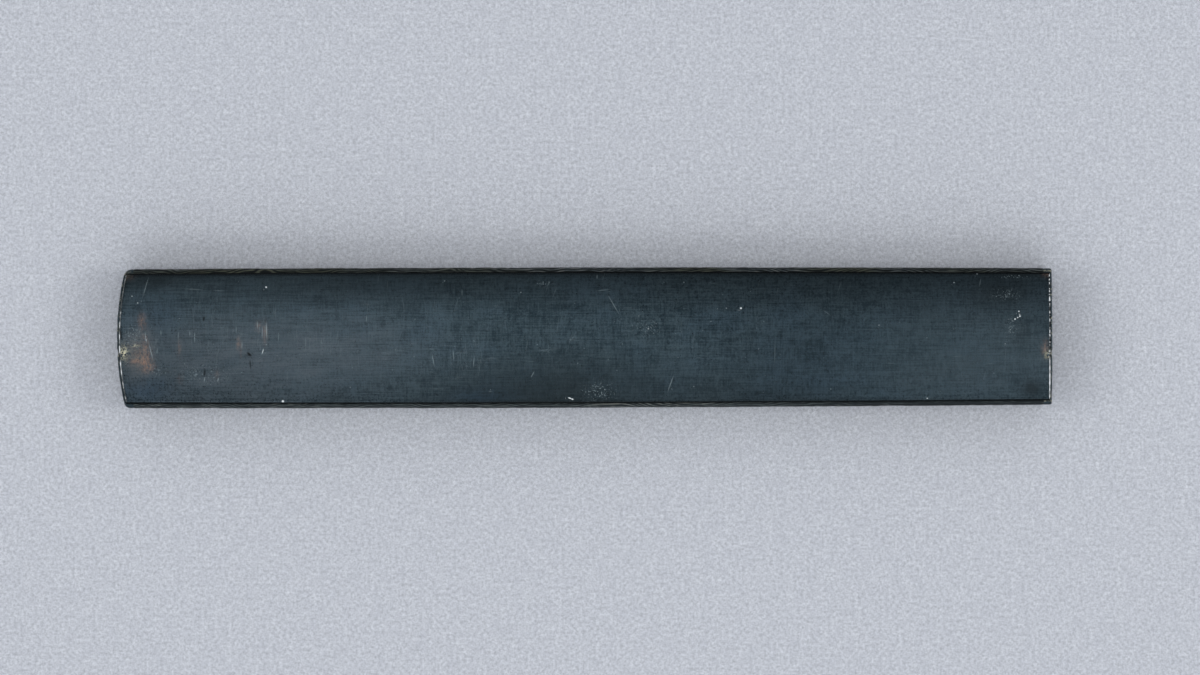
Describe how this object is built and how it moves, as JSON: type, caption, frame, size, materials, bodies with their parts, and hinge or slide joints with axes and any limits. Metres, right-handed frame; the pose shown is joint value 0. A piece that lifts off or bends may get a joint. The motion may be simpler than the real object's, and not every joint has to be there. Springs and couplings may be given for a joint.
{
  "type": "knife handle",
  "caption": "Slim hollow metal handle for a small side knife, with a plain crowned face, wood-grained sides, a rounded butt and a tang slot in its mouth.",
  "frame": {"origin": "middle of the underside, which is the flat decorated front plate", "axes": "+X along the handle and out of its mouth, +Y across it, +Z out of the plain crowned face"},
  "size_m": [0.097, 0.0146, 0.0052],
  "materials": {
    "blue_black_alloy": "satin blue-black patina with fine lengthwise polishing lines, worn to bare metal at the ends",
    "grained_alloy": "matt olive-black patina over carved wood grain",
    "silver_solder": "dull silver",
    "slip_wood": "plain sawn wood"
  },
  "bodies": {
    "root": {"face_plate": "blue_black_alloy", "butt_plate": "blue_black_alloy", "mouth_plate": "blue_black_alloy", "near_wall": "grained_alloy", "far_wall": "grained_alloy", "front_plate": "grained_alloy", "butt_seam_solder": "silver_solder", "mouth_seam_solder": "silver_solder", "face_plate_solder": "silver_solder", "front_plate_solder": "silver_solder", "butt_near_corner_solder": "silver_solder", "butt_far_corner_solder": "silver_solder", "mouth_near_corner_solder": "silver_solder", "mouth_far_corner_solder": "silver_solder", "lower_tang_slip": "slip_wood", "upper_tang_slip": "slip_wood"}
  },
  "joints": []
}
